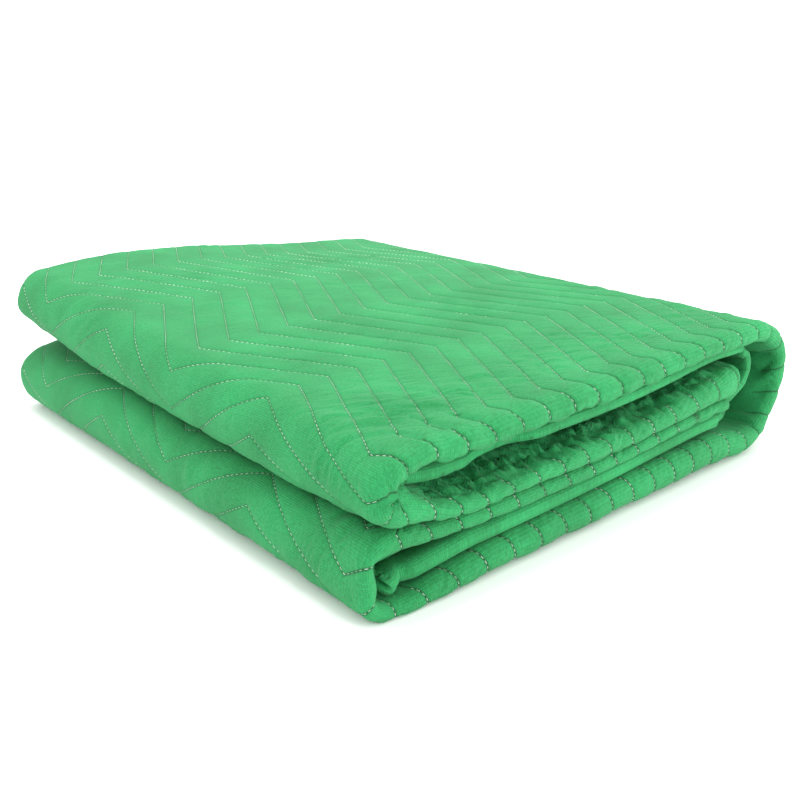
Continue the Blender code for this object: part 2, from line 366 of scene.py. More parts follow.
# %% The lip
# How the lip is shaped. Columns: place along, how far the tucked flap puffs up behind the lip, how
# far the lip stands out, how much more cloth is in it, how far its roundest place is moved towards
# the outer panel, how much of the quilting's relief it shows, how flat its front is (1 is round).
LIP_SHAPE = [
    (UPPER_IN[0], 0.007, 0.005, 0.000, 1.0, 0.5, 0.85),
    (UPPER_IN[0] + 0.04, 0.004, 0.006, 0.003, 1.1, 0.5, 0.85),
    (UPPER_IN[0] + 0.12, -0.002, 0.007, 0.005, 1.2, 0.5, 0.85),
    (UPPER_IN[0] + 0.20, -0.003, 0.007, 0.006, 1.2, 0.6, 0.85),
    (NOSE - 0.055, -0.006, 0.008, 0.007, 1.2, 0.6, 0.85),
    (NOSE - 0.030, -0.004, 0.009, 0.009, 1.2, 0.6, 0.80),
    (NOSE - 0.014, 0.001, 0.010, 0.011, 1.2, 0.6, 0.75),
    (NOSE, 0.011, 0.011, 0.014, 1.2, 0.6, 0.70),
    (NOSE + 0.045, 0.012, 0.011, 0.014, 1.0, 0.6, 0.70),
    (TOP[0] - 0.010, 0.005, 0.010, 0.006, 0.9, 0.8, 0.85),
    (TOP[0] + 0.014, 0.000, 0.010, 0.000, 1.0, 1.0, 1.00),
    (TOP[0] + 0.20, 0.000, 0.010, 0.000, 1.0, 1.0, 1.00),
    (TOP[1], 0.000, 0.008, 0.000, 1.0, 0.8, 1.00),
    (SPINE[0] + 0.05, -0.004, 0.004, 0.000, 1.0, 0.5, 1.00),
    (SPINE[1] - 0.05, -0.004, 0.004, 0.000, 1.0, 0.5, 1.00),
    (BOTTOM[0], 0.000, 0.007, 0.000, 1.0, 0.6, 1.00),
    (BOTTOM[1] - 0.05, 0.001, 0.008, 0.000, 1.0, 0.6, 1.00),
    (BOTTOM[1], -0.002, 0.004, 0.000, 1.0, 0.6, 1.00),
    (LOWER_NOSE[0] + 0.04, -0.007, 0.002, 0.000, 1.0, 0.5, 1.00),
    (LOWER_IN[0] + 0.02, -0.003, 0.003, 0.000, 1.0, 0.6, 1.00),
    (LOWER_IN[1], 0.000, 0.004, 0.000, 1.0, 0.6, 1.00),
]

# How far askew the lip is folded. Columns: place along, how far the cloth has slid over the lip
# towards the tucked flap.
ASKEW = [
    (NOSE - 0.10, 0.000),
    (NOSE, 0.012),
    (NOSE + 0.042, 0.018),
    (NOSE + 0.066, 0.006),
    (TOP[0] + 0.03, 0.000),
]
ASKEW_WIDTH = 0.20  # this fades out so far to both sides of the lip
FILL_DEPTH = 0.055  # how far behind the lip the tucked flap is flat again
FLAP_RISE = 0.004  # how much higher it puffs up in the middle of that,
FULL_FILL = 0.008  # where it puffs up by this or more
print("the lip stands out, mm:", [round(1000 * row[2]) for row in LIP_SHAPE])

# %% [markdown]
# ## How the folding went askew
# A hand never folds a blanket quite square. The cloth has slid along its folds, so the quilting's
# corners on the outer panel don't lie over those of the lip, and the layers lie unequally full on
# each other. Each of these is a small table of shifts that fade out softly, because one rule can
# then move cover, thread and seam alike.

# %% Slides
# How far the cloth has slid along its folds. Columns: place along, slide near the lip, slide
# towards the back.
SLIDES = [
    (0.0, 0.0000, 0.000),
    (0.12, 0.0115, 0.000),
    (NOSE - 0.02, 0.0115, -0.006),
    (NOSE + 0.042, 0.0000, -0.012),
    (TOP[0], 0.0000, -0.012),
    (TOP[0] + 0.12, 0.0000, -0.003),
    (TOP[0] + 0.22, 0.0000, 0.000),
    (CLOTH_LENGTH, 0.0000, 0.000),
]
FAR_START = 0.12  # how far behind the lip the slide starts to turn to the one towards the back
FAR_REACH = 0.14  # and how much further on it has turned to it
print("largest slide, mm:", 1000 * max(row[1] for row in SLIDES))

# %% The stack
# How the stack is pushed up or down at the open side, because its bundles are not equally full.
# Columns: place along X, then the push at the top of the bottom lip, at the bottom of the lower
# bundle's upper lip, between the two halves, and at the bottom of the top lip. The knots are the
# heights of these four, between the stack's underside and its top.
STACK_KNOTS = (0.0, 0.02075, 0.04255, 0.06435, 0.10795, 0.1287)
STACK_PUSH = [
    (-0.060, 0.000, 0.000, 0.000, 0.000),
    (-0.012, -0.006, 0.001, 0.008, 0.003),
    (0.014, -0.008, 0.003, 0.005, 0.008),
    (0.035, -0.005, 0.004, -0.001, 0.004),
    (0.060, -0.001, 0.004, -0.004, 0.001),
    (0.076, 0.002, 0.004, -0.005, -0.004),
    (0.100, 0.004, 0.002, -0.005, 0.000),
    (0.140, 0.006, 0.001, -0.006, 0.000),
    (0.240, 0.009, 0.004, -0.008, -0.001),
    (0.310, 0.012, 0.009, -0.005, 0.001),
    (0.385, 0.014, 0.014, -0.002, 0.004),
    (0.436, 0.006, 0.006, -0.001, 0.001),
    (0.520, 0.000, 0.000, 0.000, 0.000),
]
STACK_DEPTH = 0.11  # the push fades out this far behind the open side
print("largest push, mm:", 1000 * max(max(row[1:]) for row in STACK_PUSH))

# %% The spine and the presses
# The upper flap's way through the spine, near its hem. Columns: place along, x, height.
INNER_WALL = [
    (SPINE[0], 0.434, 0.1060),
    (SPINE[0] + 0.022, 0.4440, 0.1000),
    (SPINE[0] + 0.050, 0.4470, 0.0880),
    (SPINE[0] + 0.080, 0.4410, 0.0730),
    (SPINE[0] + 0.110, 0.4250, 0.0640),
    (SPINE[0] + 0.145, 0.4110, 0.0575),
    (SPINE[1] - 0.010, 0.4090, 0.0470),
    (BOTTOM[0] + 0.045, 0.3910, 0.0440),
]
WALL_START = 0.01  # it follows this way fully so far behind the open side,
WALL_DEPTH = 0.12  # and no more this much further in
WALL_BLEND = (0.010, 0.020)  # how far from its first and last place it joins the plain way
SPINE_HOLLOW = 0.022  # how far the upper flap hangs away from the other two plies in the spine

# Where a hand has pulled or pressed the stack. Columns: place, reach each way, shift.
PRESSES = [
    ((0.000, -0.005, 0.100), (0.032, 0.045, 0.024), (-0.009, 0.000, 0.002)),
    ((-0.022, -0.004, 0.050), (0.016, 0.030, 0.014), (-0.005, 0.000, 0.001)),
    ((-0.030, -0.004, 0.028), (0.014, 0.030, 0.016), (0.004, 0.000, 0.000)),
    ((-0.010, 0.600, 0.094), (0.040, 0.180, 0.024), (0.009, 0.000, 0.007)),
    ((-0.010, 0.600, 0.064), (0.040, 0.180, 0.024), (0.004, 0.000, -0.005)),
    ((0.498, -0.010, 0.034), (0.050, 0.200, 0.036), (-0.007, 0.000, 0.000)),
    ((0.496, -0.010, 0.112), (0.040, 0.200, 0.045), (0.006, 0.000, 0.001)),
    ((0.080, 0.600, 0.150), (0.170, 0.300, 0.100), (0.000, 0.000, 0.006)),
    ((0.330, 0.600, 0.140), (0.150, 0.300, 0.100), (0.000, 0.000, -0.005)),
]
print("presses:", len(PRESSES))

# %% [markdown]
# ## From a place in the cloth to a place in space
# The long fold is a path in the XZ plane of straight runs and half turns. The letter fold is a
# section across it that gives the place along Y and the height over the path. Both are plain
# functions of the place in the cloth, so the folds can't tear and the cloth keeps its size.


# %% The long fold
PROBE = 0.0002  # step for the slopes of the surface; the path goes on by one beyond its ends


def fold_path(along):
    """The letter fold's middle in the XZ plane, and its heading."""
    x = np.zeros_like(along)
    z = np.zeros_like(along)
    heading = np.zeros_like(along)
    at_x = RUN - UPPER_SHORT
    at_z = 2.5 * BUNDLE
    facing = math.pi
    for name, straight, turn, _ in FOLD_RUNS:
        start, end = RUNS[name]
        on = (along >= start - PROBE) & (along <= end + PROBE)
        x[on] = at_x + math.cos(facing) * (along[on] - start)
        z[on] = at_z
        heading[on] = facing
        at_x += math.cos(facing) * straight
        if turn:
            start, end = RUNS[name + "_turn"]
            on = (along > start) & (along < end)
            heading[on] = facing - math.pi * (along[on] - start) / (end - start)
            middle_z = at_z - turn * math.cos(facing)
            x[on] = at_x - turn * np.sin(heading[on])
            z[on] = middle_z + turn * np.cos(heading[on])
            at_z = 2 * middle_z - at_z
            facing -= math.pi
    return x, z, heading


print("height of the top run's middle, mm:", 1000 * fold_path(np.array([TOP[0]]))[1].round(4))


# %% The letter fold
def spine_share(along):
    """1 at the middle of the spine's turn, 0 on the runs before and after it."""
    share = np.clip((along - SPINE[0]) / (SPINE[1] - SPINE[0]), 0.0, 1.0)
    return np.sin(math.pi * share) ** 2


def letter_fold(along, across):
    """The fold's section: the place along Y, and the height over the middle ply."""
    spine = spine_share(along)
    across = across - through(along, ASKEW) * bump_at(across, OUTER[0], ASKEW_WIDTH)
    fill, out, more, skew, _, flat_front = through(along, LIP_SHAPE).T
    hem, _, hem_push = through(along, HEM_SHAPE).T
    y = np.zeros_like(along)
    height = np.zeros_like(along)
    lip_start = LIP[0] - more

    on = across < lip_start
    share = across[on] / lip_start[on]
    y[on] = (PANEL - TONGUE_IN) * (1.0 - share)
    rise = np.clip(fill[on] / FULL_FILL, 0.0, 1.0) * bump_at(y[on], FILL_DEPTH / 2, FILL_DEPTH / 2)
    height[on] = -fill[on] * (1.0 - smooth(y[on] / FILL_DEPTH)) - FLAP_RISE * rise

    start, end = OUTER
    on = (across >= lip_start) & (across < start)
    share = (across[on] - lip_start[on]) / (start - lip_start[on])
    y[on] = -out[on] * np.maximum(np.sin(math.pi * share ** skew[on]), 0.0) ** flat_front[on]
    height[on] = (PITCH - fill[on]) / 2 - (PITCH + fill[on]) / 2 * np.cos(math.pi * share)

    on = (across >= start) & (across < end)
    y[on] = across[on] - start
    height[on] = PITCH

    inner = -PITCH - SPINE_HOLLOW * spine
    start, end = BACK
    on = (across >= start) & (across < end)
    share = (across[on] - start) / (end - start)
    y[on] = PANEL + PITCH * np.sin(math.pi * share)
    height[on] = (PITCH + inner[on]) / 2 + (PITCH - inner[on]) / 2 * np.cos(math.pi * share)

    start, end = UPPER
    on = across >= start
    share = (across[on] - start) / (end - start)
    y[on] = PANEL * (1.0 - share) + hem[on] * share
    height[on] = inner[on] - hem_push[on] * bump_at(across[on], CLOTH_WIDTH, 3 * HEM_WIDTH)
    return y, height


lip_y, _ = letter_fold(np.array([TOP[0] + 0.2]), np.array([(LIP[0] + LIP[1]) / 2]))
print("the upper lip's front, mm:", 1000 * lip_y.round(4))


# %% Pushes and presses
def push_stack(points):
    """Pushes the layers up or down near the open side."""
    push = through(points[:, 0], STACK_PUSH)
    push = np.column_stack([np.zeros(len(points)), push, np.zeros(len(points))])
    knots = np.array(STACK_KNOTS)
    step = np.clip(np.searchsorted(knots, points[:, 2]) - 1, 0, len(knots) - 2)
    share = np.clip((points[:, 2] - knots[step]) / (knots[step + 1] - knots[step]), 0.0, 1.0)
    rows = np.arange(len(points))
    moved = push[rows, step] * (1 - share) + push[rows, step + 1] * share
    pushed = points.copy()
    pushed[:, 2] += moved * (1.0 - smooth(points[:, 1] / STACK_DEPTH))
    return pushed


def pressed(points):
    """Moves the points round each press."""
    moved = points.copy()
    for place, reach, shift in PRESSES:
        share = np.ones(len(points))
        for axis in range(3):
            share *= bump_at(points[:, axis], place[axis], reach[axis])
        moved += share[:, None] * np.array(shift)
    return moved


def lie_down(points):
    """Lifts or lowers the fold towards its corners, and lets the lower nose lie further out."""
    x = (points[:, 0] + BUNDLE) / (RUN + 3 * BUNDLE)
    y = (points[:, 1] + PITCH) / (PANEL + 2.5 * PITCH)
    front = LIFT["nose_front"] * (1 - x) + LIFT["spine_front"] * x
    back = LIFT["nose_back"] * (1 - x) + LIFT["spine_back"] * x + 4 * BACK_CROWN * x * (1 - x)
    lower_half = points[:, 2] < 2 * BUNDLE
    lying = points.copy()
    lying[:, 0] -= LOWER_OUT * lower_half * smooth((RUN / 2 - points[:, 0]) / (RUN / 2))
    lying[:, 2] = PLY / 2 + (points[:, 2] - PITCH / 2) * (front * (1 - y) + back * y)
    return lying


lifted = lie_down(np.array([[0.0, PANEL, 4 * BUNDLE]]))[0]
print("height at the nose's back, mm:", 1000 * lifted[2].round(4), "flat:", 4000 * BUNDLE)


# %% From the cloth to space
def middle_of_cloth(along, across):
    """Points on the middle of the folded cloth, in the frame."""
    near_slide, far_slide = through(along, SLIDES).T
    far = smooth((across - OUTER[0] - FAR_START) / FAR_REACH)
    along = along + near_slide * (1 - far) + far_slide * far
    x, z, heading = fold_path(along)
    y, height = letter_fold(along, across)
    points = np.stack([x - height * np.sin(heading), y, z + height * np.cos(heading)], axis=1)
    points = pressed(lie_down(push_stack(points)))
    wall = through(along, INNER_WALL)
    first, last = INNER_WALL[0][0], INNER_WALL[-1][0]
    on = (across > UPPER[0]) & (along > first) & (along < last)
    share = on * (1.0 - smooth((y - WALL_START) / WALL_DEPTH))
    share *= smooth((along - first) / WALL_BLEND[0]) * smooth((last - along) / WALL_BLEND[1])
    points[:, 0] = points[:, 0] * (1 - share) + wall[:, 0] * share
    points[:, 2] = points[:, 2] * (1 - share) + wall[:, 1] * share
    points[:, 0] += SEATED[0]
    points[:, 1] += SEATED[1]
    return points


def cloth_normals(along, across):
    """Which way the outer face looks."""
    slopes = []
    for step_along, step_across in ((PROBE, 0.0), (0.0, PROBE)):
        before, after = (
            middle_of_cloth(
                np.clip(along + way * step_along, 0.0, CLOTH_LENGTH),
                np.clip(across + way * step_across, 0.0, CLOTH_WIDTH),
            )
            for way in (-1, 1)
        )
        slopes.append(after - before)
    normals = np.cross(slopes[0], slopes[1])
    return normals / np.maximum(np.linalg.norm(normals, axis=1), 1e-12)[:, None]


spine_top = middle_of_cloth(np.array([SPINE[0]]), np.array([OUTER[0]]))
print("top of the spine, mm:", (1000 * spine_top).round(1))

# %% [markdown]
# ## Lines of quilting
# The machine sews straight through cover, padding and cover in parallel zigzag lines. They could be
# drawn as curves and pressed into a grid, but a rule is shorter and exact: it gives each place in
# the cloth the number of its line, and 1 where the outer panel is the outside of the folded bundle.

# %% Zigzag lines
LEG_SLOPE = 2 * ZIGZAG / ZIGZAG_PERIOD
LEG_STRETCH = math.hypot(1.0, LEG_SLOPE)


def leg_phase(across):
    """From 0 to 1 between two low corners of the lines, and 0.5 at the high corner."""
    return ((across - OUTER[0] - FIRST_CORNER) / ZIGZAG_PERIOD) % 1.0


def zigzag(across):
    """How far a line of quilting is moved along the cloth, from 0 at its low corners."""
    return ZIGZAG * (1.0 - np.abs(2.0 * leg_phase(across) - 1.0))


def line_number(along, across):
    """A whole number on each line of quilting, and fractions between two lines."""
    return (along - TOP[0] - FIRST_LINE - zigzag(across)) / LINE_SPACING


EXPOSED = 0.3  # a place counts as seen from outside above this share


def on_outside(along, across):
    """1 where the outer panel is the outside, 0 where plies or the floor press it flat."""
    top = smooth((along - NOSE) / 0.03 + 1) * smooth((SPINE[1] - along) / 0.03)
    low = smooth((along - LOWER_NOSE[0]) / 0.03) * smooth((LOWER_NOSE[1] - along) / 0.03 + 1)
    near_lip = bump_at(across, OUTER[0] - 0.006, 0.055)
    return np.maximum(np.maximum(top, low), near_lip) * smooth((across - LIP[0]) / 0.02 + 1)


print("lines of quilting over the cloth:", round(CLOTH_LENGTH / LINE_SPACING))

# %% [markdown]
# ## Single creases
# A hand has left some folds of their own size at the nose: a few shallow troughs that run over the
# lip, and a twist with deep ones. Noise would put them anywhere, so they are placed one by one as
# soft troughs and ridges round a broken line.

# %% Table of creases
KNOB = NOSE + 0.050  # the twisted knob at the front corner
# Columns: points on the crease (place along, how far it lies behind the lip's edge), its width, how
# far it stands up.
CREASES = [
    ([(KNOB + 0.010, 0.046), (KNOB + 0.032, 0.042), (TOP[0] + 0.012, 0.036)], 0.0028, -0.0016),
    ([(TOP[0] + 0.006, 0.028), (TOP[0] + 0.018, 0.020), (TOP[0] + 0.024, 0.004)], 0.0024, -0.0018),
    ([(TOP[0] + 0.034, 0.046), (TOP[0] + 0.042, 0.038), (TOP[0] + 0.054, 0.004)], 0.0024, -0.0018),
    ([(TOP[0] + 0.014, -0.003), (TOP[0] + 0.010, -0.012)], 0.0022, -0.0018),
    ([(TOP[0] + 0.068, 0.030), (TOP[0] + 0.080, 0.006)], 0.0024, -0.0016),
    ([(TOP[0] + 0.064, 0.058), (TOP[0] + 0.076, 0.050)], 0.0026, -0.0014),
    ([(KNOB - 0.004, 0.006), (KNOB - 0.006, 0.0), (KNOB + 0.004, -0.004)], 0.0020, -0.0024),
    ([(KNOB - 0.010, 0.010), (KNOB - 0.014, 0.002), (KNOB - 0.022, -0.002)], 0.0024, -0.0032),
    ([(KNOB - 0.022, -0.002), (KNOB - 0.034, -0.010)], 0.0028, -0.0042),
    ([(KNOB - 0.010, -0.004), (KNOB + 0.002, -0.008)], 0.0032, 0.0026),
    ([(NOSE - 0.002, -0.014), (NOSE - 0.002, -0.006), (NOSE + 0.004, 0.0)], 0.0022, -0.0022),
    ([(NOSE - 0.008, -0.012), (NOSE - 0.008, -0.006), (NOSE - 0.001, 0.0)], 0.0022, -0.0020),
    ([(NOSE - 0.006, -0.021), (NOSE - 0.012, -0.013), (NOSE - 0.014, -0.008)], 0.0028, -0.0034),
    ([(NOSE - 0.028, -0.028), (NOSE - 0.020, -0.012), (NOSE - 0.018, -0.007)], 0.0026, -0.0026),
    ([(NOSE - 0.046, -0.026), (NOSE - 0.038, -0.012)], 0.0026, -0.0024),
]


# %% Height of the creases
def creases(along, across):
    """Height of the single creases."""
    height = np.zeros_like(along)
    for points, width, rise in CREASES:
        stops = [(place, OUTER[0] + behind) for place, behind in points]
        nearest = np.full_like(along, 1.0)
        for (along_0, across_0), (along_1, across_1) in zip(stops[:-1], stops[1:]):
            way_along, way_across = along_1 - along_0, across_1 - across_0
            share = (along - along_0) * way_along + (across - across_0) * way_across
            share = np.clip(share / (way_along**2 + way_across**2), 0.0, 1.0)
            off_along = along - along_0 - share * way_along
            off_across = across - across_0 - share * way_across
            nearest = np.minimum(nearest, np.hypot(off_along, off_across))
        height += rise * np.exp(-((nearest / width) ** 2))
    return height


print("creases:", len(CREASES))

# %% [markdown]
# ## Relief of the cloth
# Each line of quilting pulls the padding in to a narrow valley, the cloth between two lines puffs
# up, and the sewing gathers short wrinkles that cross the channels. Behind the lip and inside the
# spine, where there is too much cloth, it puckers deeply. The relief is a height over the plain
# cloth, so it can be read at any place: for the mesh, and again for the stitches in the valleys.

# %% Puffs and wrinkles
PUFF = 0.0010  # how far the cloth stands up between the lines
VALLEY = 0.0007  # how far it is pulled in on a line
WRINKLE = 0.0017  # how far the short wrinkles stand up
WRINKLE_WIDTHS = (0.0088, 0.0055)  # from one to the next, of the wide ones and the narrow ones
LIP_MIDDLE = OUTER[0] - 0.006  # the relief is stronger round this place


def quilted_relief(along, across):
    """Height of the puffs, valleys and short wrinkles."""
    number = line_number(along, across)
    share = number - np.floor(number)
    # The wrinkles grow within 130 mm of the lip, and the valleys deepen within 40 mm.
    near_lip, at_lip = bump_at(across, LIP_MIDDLE, 0.13), bump_at(across, LIP_MIDDLE, 0.04)
    puff = (4 * share * (1 - share)) ** (0.55 - 0.2 * at_lip)
    phase = leg_phase(across)
    leg = np.where(phase < 0.5, 1.0, -1.0)
    corner = np.minimum(np.abs(phase - 0.5), np.minimum(phase, 1 - phase)) * 2
    # The wrinkles follow each other along a leg of the zigzag, and fade at its corners.
    way = (across + leg * LEG_SLOPE * along) / LEG_STRETCH
    way += 0.003 * soft_noise(along / 0.02, across / 0.02, 9)
    wide, narrow = WRINKLE_WIDTHS
    wrinkle = 2 * np.abs(soft_noise(way / wide, number * 0.8 + 3 * leg, 5)) ** 0.75 - 0.9
    wrinkle += 0.5 * soft_noise(way / narrow, number * 1.1 + 7 * leg, 6)
    strength = 0.2 + 0.35 * smooth(0.5 + soft_noise(along / 0.07, across / 0.06, 8))
    near_nose = smooth((TOP[0] + 0.20 - along) / 0.15) * smooth((along - TOP[0] + 0.06) / 0.04)
    strength += 0.45 * near_lip + 0.9 * (near_lip * near_nose)
    # Far from the lip the cloth lies flatter.
    calm = 1 - 0.65 * smooth((across - OUTER[0] - 0.20) / 0.25)
    pinch = VALLEY * calm * (1 + at_lip)
    height = -pinch + (PUFF * calm + pinch) * puff
    height += WRINKLE * wrinkle * strength * smooth(corner * 5) * (0.35 + 0.65 * puff)
    quilted = 1 - bump_at(across, LIP[0] + 0.008, 0.035) * (1 - through(along, LIP_SHAPE)[:, 4])
    return height * (on_outside(along, across) * quilted)


print("puff over the valley, mm:", round(1000 * (PUFF + VALLEY), 2))

# %% Puckers behind the lip and in the spine
GATHER = 0.0041  # how far the tucked flap's puckers stand up in the dark behind the lip
GATHER_WIDTHS = (0.0052, 0.0044)  # from one to the next, of the high ones and the low ones
FOLDED_IN = 0.0055  # how far the creases inside the spine stand up
FOLDED_WIDTH = 0.016  # from one of them to the next


def puckers(along, across):
    """Height of the puckers behind the upper lip, and of the creases inside the spine."""
    loose = smooth((UPPER_NOSE[1] - 0.045 - along) / 0.03) * smooth((along - UPPER_IN[0]) / 0.05)
    loose = bump_at(across, LIP[0] - 0.018, 0.030) * loose
    drift = 0.008 * soft_noise(along / 0.05, across / 0.025, 10)
    high, low = GATHER_WIDTHS
    pucker = 2 * np.abs(soft_noise((along + drift) / high, across / 0.012, 11)) - 0.8
    pucker += 0.8 * np.abs(soft_noise((along - drift) / low, across / 0.007, 12)) - 0.3

    in_spine = smooth((along - SPINE[0] - 0.01) / 0.03) * smooth((SPINE[1] - 0.01 - along) / 0.03)
    in_spine *= bump_at(across, LIP[0] - 0.022, 0.040)
    radial = 2 * np.abs(soft_noise((along + 2 * drift) / FOLDED_WIDTH, across / 0.07, 13)) - 0.8
    return GATHER * pucker * loose + FOLDED_IN * radial * in_spine


print("height of the puckers, mm:", round(1000 * GATHER, 2))


# %% Relief and faces
HEM_RIPPLE = 0.0006  # how far the hem of the upper flap ripples
EDGE_BAND = 0.006  # the relief fades out this near to the cloth's edges
RIM = 0.0005  # half the thickness that is left on the very edge


def to_edge(along, across):
    """How far a place is from the cloth's nearest edge."""
    ends = np.minimum(along, CLOTH_LENGTH - along)
    return np.minimum(ends, np.minimum(across, CLOTH_WIDTH - across))


def relief(along, across):
    """Height of the outer face over the plain cloth."""
    height = quilted_relief(along, across) + puckers(along, across) + creases(along, across)
    near_hem = bump_at(across, CLOTH_WIDTH, 0.05)
    height += HEM_RIPPLE * near_hem * soft_noise(along / 0.011, across / 0.03, 14)
    return height * smooth(to_edge(along, across) / EDGE_BAND)


def half_thickness(along, across):
    """Half a ply. The cloth rounds off towards its edges, and is fuller in the upper flap's hem."""
    from_hem = np.maximum(CLOTH_WIDTH - across, HEM_WIDTH / 3)
    full = PLY / 2 + through(along, HEM_SHAPE)[:, 1] * bump_at(from_hem, HEM_WIDTH / 3, HEM_WIDTH)
    inwards = np.clip(1 - to_edge(along, across) / full, 0.0, 1.0)
    return RIM + (full - RIM) * np.sqrt(1 - inwards**2)


def outer_face(along, across):
    """Points on the outside of the cloth, which lies on the floor where it would go below."""
    reach = half_thickness(along, across) + relief(along, across)
    points = middle_of_cloth(along, across) + cloth_normals(along, across) * reach[:, None]
    points[:, 2] = np.maximum(points[:, 2], 0.0)
    return points


def inner_face(along, across):
    """Points on the inside of the cloth."""
    reach = half_thickness(along, across)
    points = middle_of_cloth(along, across) - cloth_normals(along, across) * reach[:, None]
    points[:, 2] = np.maximum(points[:, 2], 2 * RIM)
    return points


relief_at_nose = relief(np.linspace(NOSE, TOP[0], 50), np.full(50, OUTER[0] + 0.05))
print("relief over the upper nose, mm:", 1000 * np.ptp(relief_at_nose).round(5))

# %% [markdown]
# ## The cloth's mesh
# A plain grid would cut across the zigzag and blur each valley, and a grid that is fine all over
# would spend most of its faces where nobody sees them. So the rows follow the zigzag lines, and
# there are three kinds: those of the outside are close together in the valleys, those of the mouth
# are even and fine for the puckers behind the lip, and those that show only their lips are sparse.
# Neighbouring rows with different columns are zipped together with triangles.

# %% Rows
# Where the rows lie between two lines of quilting, as shares of the way.
STEPS = {
    "outside": (0.0, 0.05, 0.12, 0.22, 0.35, 0.50, 0.65, 0.78, 0.88, 0.95),
    "mouth": (0.0, 0.04, *(0.09 + 0.06 * i for i in range(14)), 0.92, 0.96),
    "lips": (0.0, 0.07, 0.18, 0.32, 0.50, 0.68, 0.82, 0.93),
}
EDGE_STEPS = (0.0, 0.0003, 0.0010, 0.0024, 0.0045)  # the rows that round off the cloth's ends
STRAIGHTEN = 0.075  # the rows turn from straight to zigzag over this length at both ends


def row_places():
    """The rows' places along the cloth, and what part of the blanket each shows."""
    first = TOP[0] + FIRST_LINE + ZIGZAG / 2
    last_line = int(CLOTH_LENGTH / LINE_SPACING) + 1
    reach = ZIGZAG / 2 + LINE_SPACING / 2
    nearly = EDGE_STEPS[-1] + 0.001
    places = [(place, "mouth") for place in EDGE_STEPS]
    places += [(CLOTH_LENGTH - place, "lips") for place in EDGE_STEPS]
    for number in range(-last_line, last_line):
        start = first + number * LINE_SPACING
        middle = start + LINE_SPACING / 2
        part = "mouth" if middle < NOSE else "lips"
        for first_place, last_place in ((NOSE, SPINE[1]), LOWER_NOSE):
            if first_place - reach < middle < last_place + reach:
                part = "outside"
        for step in STEPS[part]:
            place = start + step * LINE_SPACING
            if nearly < place < CLOTH_LENGTH - nearly:
                places.append((place, part))
    return sorted(places)


ROWS = row_places()
print("rows:", len(ROWS))


# %% Columns
def columns(stops):
    """Places across the cloth. Columns of the stops: place, step up to the next stop."""
    places = []
    for (start, step), (end, _) in zip(stops[:-1], stops[1:]):
        count = max(1, round((end - start) / step))
        places += list(np.linspace(start, end, count + 1)[:-1])
    return np.array(places + [stops[-1][0]])


CORNERS = [OUTER[0] + FIRST_CORNER + i * ZIGZAG_PERIOD / 2 for i in range(5)]

# Columns of each table: place across, step up to the next place.
TUCKED_RIM = [(0.0, 0.0020), (0.0045, 0.15)]
BEHIND_LIP = [(FLAP[1] - 0.08, 0.009), (LIP[0] - 0.024, 0.0035), (LIP[1], 0.0028)]
BACK_STOPS = [(BACK[0], 0.0040), (BACK[1], 0.1), (CLOTH_WIDTH - 0.05, 0.008)]
HEM_STOPS = [
    (CLOTH_WIDTH - 0.020, 0.0026), (CLOTH_WIDTH - 0.007, 0.0015),
    (CLOTH_WIDTH - 0.0018, 0.0006), (CLOTH_WIDTH, 0.0),
]
COLUMNS = {
    "outside": columns(
        TUCKED_RIM + BEHIND_LIP + list(zip(CORNERS, (0.0023, 0.0036, 0.0056, 0.0076, 0.0076)))
        + BACK_STOPS + HEM_STOPS
    ),
    "mouth": columns(
        TUCKED_RIM + [(FLAP[1] - 0.05, 0.0024), (LIP[1], 0.0028), (OUTER[0] + 0.026, 0.15)]
        + [(BACK[0], 0.0080), (BACK[1], 0.15), (CLOTH_WIDTH - 0.007, 0.0026), (CLOTH_WIDTH, 0.0)]
    ),
    "lips": columns(
        TUCKED_RIM + [(FLAP[1] - 0.02, 0.0050), (LIP[0], 0.0026), (LIP[1], 0.0028)]
        + [(OUTER[0] + 0.026, 0.15), (BACK[0], 0.0080), (BACK[1], 0.15)]
        + [(CLOTH_WIDTH - 0.04, 0.010)] + HEM_STOPS
    ),
    "inside": columns(TUCKED_RIM + [
        (FLAP[1] - 0.03, 0.015), (LIP[0], 0.0043), (LIP[1], 0.015),
        (OUTER[0] + 0.03, 0.12), (BACK[0] - 0.02, 0.02), (BACK[0], 0.008), (BACK[1], 0.15),
        (CLOTH_WIDTH - 0.05, 0.015), (CLOTH_WIDTH - 0.020, 0.005), (CLOTH_WIDTH - 0.007, 0.0025),
        (CLOTH_WIDTH - 0.0018, 0.0006), (CLOTH_WIDTH, 0.0),
    ]),
}
print("columns:", {part: len(places) for part, places in COLUMNS.items()})


# %% Zipping rows
def sheared(place, across):
    """A row of places along the cloth that follows the zigzag, and is straight at both ends."""
    straight = smooth(min(place, CLOTH_LENGTH - place) / STRAIGHTEN)
    return place + (zigzag(across) - ZIGZAG / 2) * straight


def zip_rows(first, first_places, second, second_places):
    """Triangles between two rows of points, each given by its first index and its places."""
    faces = []
    i = j = 0
    while i < len(first_places) - 1 or j < len(second_places) - 1:
        move_first = j == len(second_places) - 1
        if i < len(first_places) - 1 and not move_first:
            ahead = second_places[j + 1] + second_places[j]
            move_first = first_places[i + 1] + first_places[i] <= ahead
        if move_first:
            faces.append((first[i], second[j], first[i + 1]))
            i += 1
        else:
            faces.append((first[i], second[j], second[j + 1]))
            j += 1
    return faces


